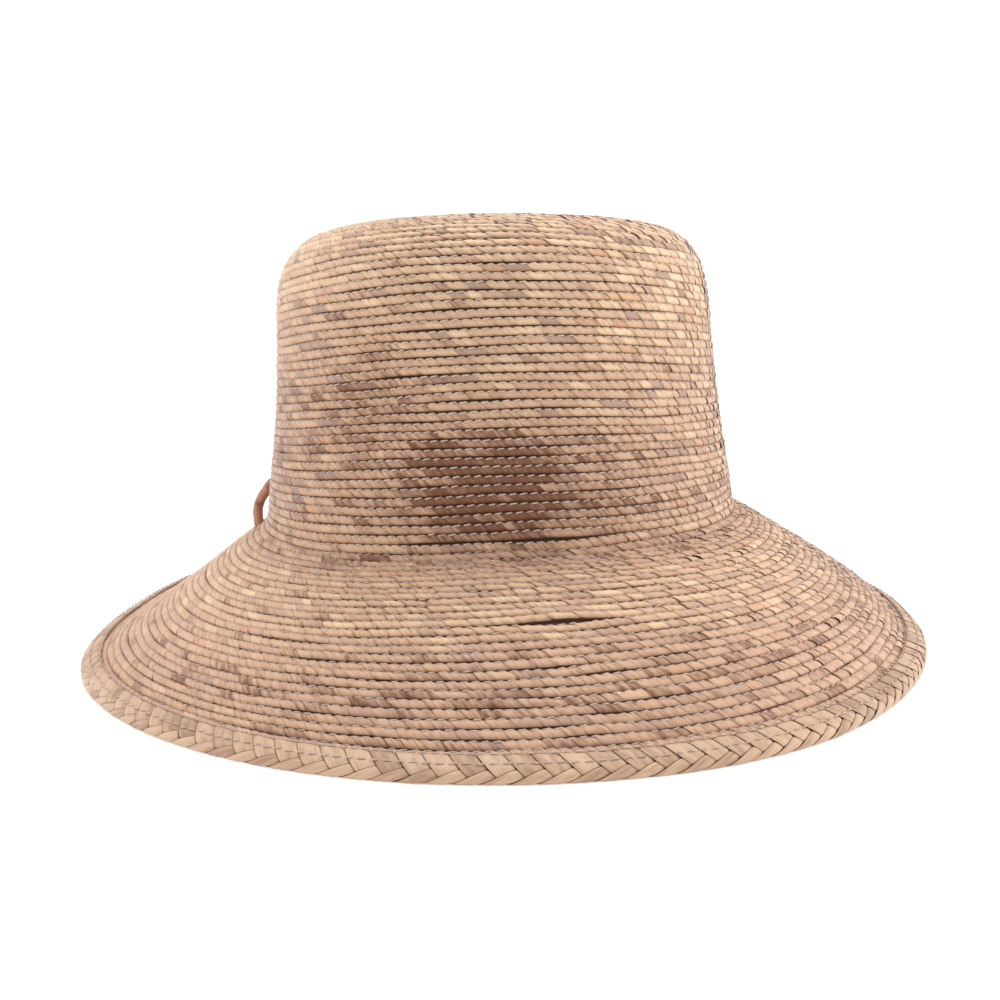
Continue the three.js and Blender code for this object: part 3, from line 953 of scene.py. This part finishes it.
def lace(name, steps=120, sides=18):
    knots = [hat_point(LACE_TURN, *spot) for spot in LACE_ROUTE]
    middle, run = smooth_line(knots, steps + 1, closed=True)
    middle, run = middle[:-1], run[:-1]
    ahead = np.roll(middle, -1, axis=0) - np.roll(middle, 1, axis=0)
    ahead /= np.linalg.norm(ahead, axis=1)[:, None]
    side = hat_point(LACE_TURN + 1, 0, FOOT_HEIGHT) - hat_point(LACE_TURN - 1, 0, FOOT_HEIGHT)
    side /= np.linalg.norm(side)
    out = np.cross(ahead, side)
    out /= np.linalg.norm(out, axis=1)[:, None]
    side = np.cross(out, ahead)
    angle = np.linspace(0, 2 * np.pi, sides, endpoint=False)
    squarish = 1 + 0.07 * np.cos(4 * angle)
    lumps = 1 + 0.03 * np.sin(run * 1.7)[:, None] * np.cos(angle * 2 + 1)
    sideways = LACE_HALF_WIDTH * squarish * lumps * np.cos(angle)
    outward = LACE_HALF_THICKNESS * squarish * lumps * np.sin(angle)
    points = middle[:, None] + side[:, None] * sideways[..., None] + out[:, None] * outward[..., None]
    corner = np.arange(steps * sides).reshape(steps, sides)
    beside = np.roll(corner, -1, axis=1)
    next_ring = np.roll(corner, -1, axis=0)
    faces = np.stack([corner, beside, np.roll(beside, -1, axis=0), next_ring], axis=-1).reshape(-1, 4)
    numbers = {"leaf": (run[:, None], np.cos(angle) * 3, 0)}
    return make_piece(name, points, faces, numbers, lace_leather)


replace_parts(lace("lace_loop"), "leather_loop")

# %% [markdown]
# ## Floor and light
# The hat stands on its rim on a plain pale floor, which curves up far behind it on every side, as paper
# does in a studio, so that no corner shows. A wide soft light hangs overhead and shades the underside
# of each row. Two more at the sides make the ends of the crown pale and leave its front darker.

# %% Studio sweep
# Metres out from the middle, and metres up
SWEEP = [(0, 0), (0.7, 0), (1.5, 0), (2, 0.03), (2.4, 0.2), (2.7, 0.55), (2.85, 1), (2.9, 1.7)]
sweep_line, _ = smooth_line(SWEEP, 40)
out, up = sweep_line[:, 0], np.maximum(sweep_line[:, 1], 0)
around = np.linspace(0, 2 * np.pi, 97)[:, None]
sweep_points = np.stack([out * np.cos(around), out * np.sin(around), up + 0 * around], axis=-1)
sweep_mesh = bpy.data.meshes.new("floor")
sweep_mesh.from_pydata(sweep_points.reshape(-1, 3).tolist(), [], grid_faces(1, 97, 40).tolist())
sweep_mesh.shade_smooth()
floor_finish, _, floor_shader = start_finish("pale_floor", Roughness=0.9)
floor_shader.inputs["Base Color"].default_value = (0.8, 0.8, 0.8, 1)
floor_shader.inputs["Emission Color"].default_value = (1, 1, 1, 1)
floor_shader.inputs["Emission Strength"].default_value = 0.36
sweep_mesh.materials.append(floor_finish)
floor = bpy.data.objects.new("floor", sweep_mesh)
bpy.context.scene.collection.objects.link(floor)

# %% Lights
world = bpy.data.worlds.new("white_room")
world.use_nodes = True
world.node_tree.nodes["Background"].inputs["Color"].default_value = (1, 1, 1, 1)
world.node_tree.nodes["Background"].inputs["Strength"].default_value = 0.5
bpy.context.scene.world = world


def soft_light(name, place, size, power):
    """A square lamp that looks at the middle of the hat."""
    lamp = bpy.data.lights.new(name, "AREA")
    lamp.size = size
    lamp.energy = power
    holder = bpy.data.objects.new(name, lamp)
    holder.location = place
    holder.rotation_euler = (Vector((0, 0, 0.07)) - Vector(place)).to_track_quat("-Z", "Y").to_euler()
    bpy.context.scene.collection.objects.link(holder)


soft_light("overhead_softbox", (0.05, 0.16, 1.5), 1.0, 17)
soft_light("left_softbox", (-1.4, 0.2, 0.4), 0.9, 6.5)
soft_light("right_softbox", (1.4, 0.1, 0.4), 0.9, 9.5)
bpy.context.scene.view_settings.view_transform = "Standard"
